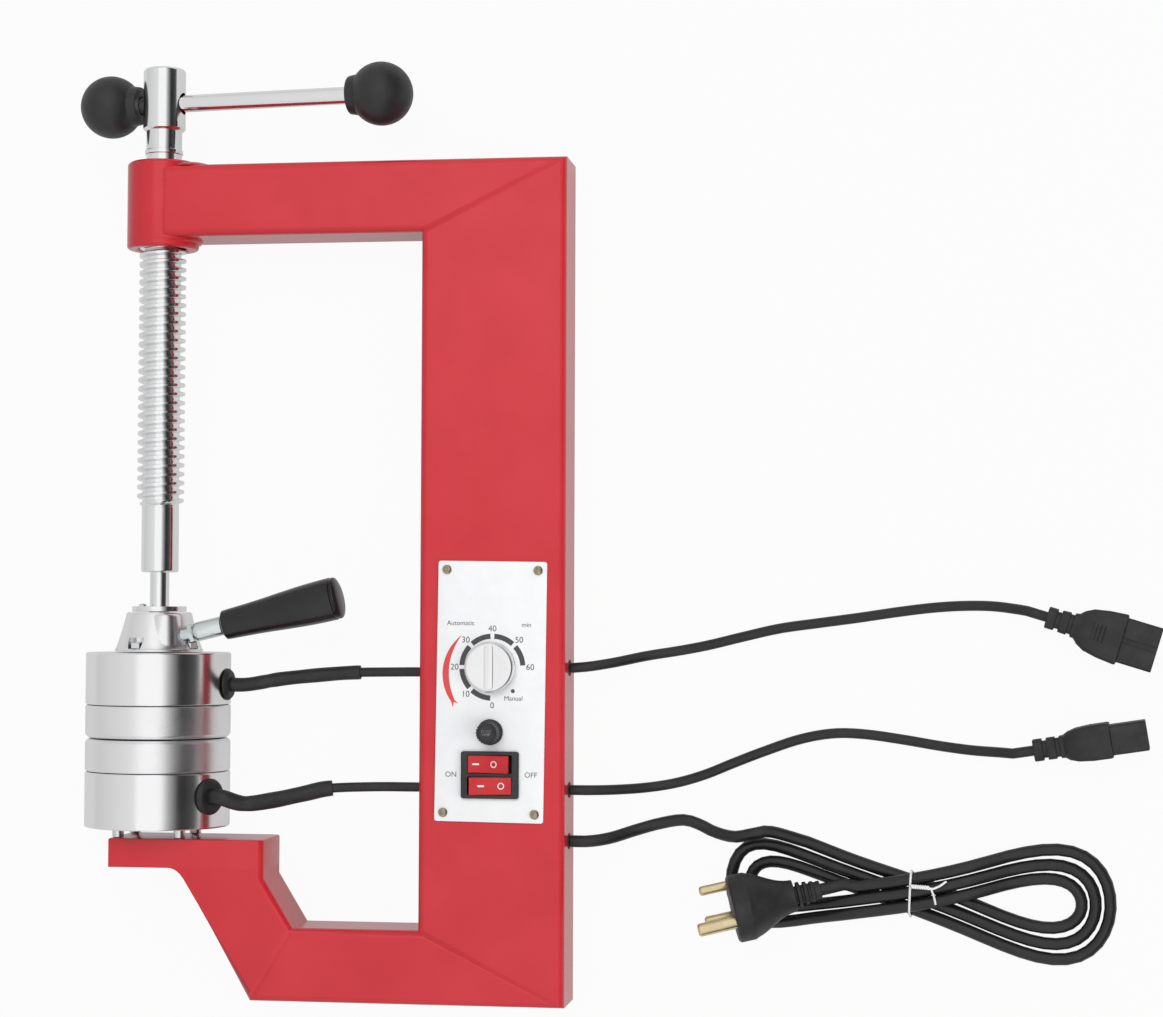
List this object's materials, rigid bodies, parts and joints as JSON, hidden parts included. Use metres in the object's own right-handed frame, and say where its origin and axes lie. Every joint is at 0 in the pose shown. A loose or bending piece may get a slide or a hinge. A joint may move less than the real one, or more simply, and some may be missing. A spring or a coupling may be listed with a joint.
{
  "type": "tire vulcanizer",
  "caption": "Bench tyre vulcanizer: a C-shaped tube frame, a lead screw with cross bar, heated pressure blocks, a control plate, outlet cords and a coiled mains cord.",
  "frame": {"origin": "middle of the footprint of the machine without its cords, on the surface it lies on", "axes": "+Z out of the surface it lies on, close to the outward normal of the control plate; +Y up the column towards the screw head; +X from the screw towards the column"},
  "size_m": [0.5967, 0.5172, 0.0801],
  "materials": {
    "red_paint": "glossy",
    "machined_aluminium": "satin, turned",
    "chrome": "polished",
    "zinc_plate": "zinc plated",
    "brass": "polished",
    "black_plastic": "smooth",
    "black_rubber": "matte",
    "white_plate": "satin white",
    "red_rocker": "glossy",
    "mica": "mica and ceramic",
    "white_tie": "white plastic over wire"
  },
  "bodies": {
    "frame": {"column_tube": "red_paint", "top_arm_tube": "red_paint", "base_tube": "red_paint", "foot_tube": "red_paint", "shelf": "red_paint", "screw_nut": "red_paint", "fuse_holder": "black_plastic", "switch_housing": "black_plastic", "lower_heater_housing": "machined_aluminium", "lower_platen": "machined_aluminium", "lower_heating_element": "mica", "lower_thermostat": "zinc_plate", "lower_lead_grommet": "black_rubber", "lower_lead_sleeve": "black_rubber", "lower_lead": "black_rubber", "lower_outlet_bush": "black_rubber", "lower_outlet_cord": "black_rubber", "lower_connector": "black_rubber", "upper_lead_sleeve": "black_rubber", "upper_lead": "black_rubber", "upper_outlet_bush": "black_rubber", "upper_outlet_cord": "black_rubber", "upper_connector": "black_rubber", "shelf_stud_1": "zinc_plate", "shelf_stud_2": "zinc_plate", "shelf_stud_3": "zinc_plate", "shelf_stud_4": "zinc_plate", "timer_body": "zinc_plate", "control_plate": "white_plate", "terminal_block": "white_plate", "mains_bush": "black_rubber", "mains_cord": "black_rubber", "mains_cord_hank": "black_rubber", "mains_plug": "black_rubber", "plug_pins": "brass", "twist_tie": "white_tie"},
    "press_head": {"upper_platen": "machined_aluminium", "upper_heater_housing": "machined_aluminium", "upper_heating_element": "mica", "upper_thermostat": "zinc_plate", "upper_lead_grommet": "black_rubber", "head_bolt_1": "zinc_plate", "head_bolt_2": "zinc_plate", "head_bolt_3": "zinc_plate", "head_bolt_4": "zinc_plate", "swivel_housing": "machined_aluminium", "swivel_cap": "machined_aluminium", "lever_nut": "zinc_plate", "lever_rod": "zinc_plate", "lever_grip": "black_plastic"},
    "lead_screw": {"lead_screw": "chrome"},
    "tommy_bar": {"tommy_bar": "chrome", "ball_knob_left": "black_plastic", "ball_knob_right": "black_plastic"},
    "timer_knob": {"timer_knob": "chrome", "timer_shaft": "zinc_plate"},
    "rocker_upper": {"rocker_upper": "red_rocker"},
    "rocker_lower": {"rocker_lower": "red_rocker"},
    "fuse_link": {"fuse_link": "zinc_plate"},
    "fuse_cap": {"fuse_cap": "black_plastic"}
  },
  "joints": [
    {"name": "press_travel", "type": "slide", "parent": "frame", "child": "press_head", "axis": [0, 1, 0], "range_m": [0, 0.1401], "deforming": ["upper_lead", "upper_lead_sleeve"]},
    {"name": "screw_turn", "type": "hinge", "parent": "press_head", "child": "lead_screw", "pos_m": [-0.09238, 0.0414, 0.04], "axis": [0, 1, 0], "range_deg": [0, 10080]},
    {"name": "tommy_bar_slide", "type": "slide", "parent": "lead_screw", "child": "tommy_bar", "axis": [-0.9997, 0, -0.0257], "range_m": [0, 0.0969]},
    {"name": "timer_turn", "type": "hinge", "parent": "frame", "child": "timer_knob", "pos_m": [0.1015, -0.0761, 0.05306], "axis": [0.0876, 0, 0.9962], "range_deg": [-270, 45]},
    {"name": "rocker_upper_tilt", "type": "hinge", "parent": "frame", "child": "rocker_upper", "pos_m": [0.10077, -0.1282, 0.04469], "axis": [0, 1, 0], "range_deg": [0, 20]},
    {"name": "rocker_lower_tilt", "type": "hinge", "parent": "frame", "child": "rocker_lower", "pos_m": [0.10077, -0.1398, 0.04469], "axis": [0, 1, 0], "range_deg": [-20, 0]},
    {"name": "fuse_lift", "type": "slide", "parent": "frame", "child": "fuse_link", "axis": [0.0876, 0, 0.9962], "range_m": [0, 0.028]},
    {"name": "fuse_turn", "type": "hinge", "parent": "fuse_link", "child": "fuse_cap", "pos_m": [0.1015, -0.111, 0.05306], "axis": [0.0876, 0, 0.9962], "range_deg": [0, 90]}
  ],
  "couplings": [
    {"joint": "press_travel", "follows": "screw_turn", "m_per_rad": 0.00079577}
  ]
}
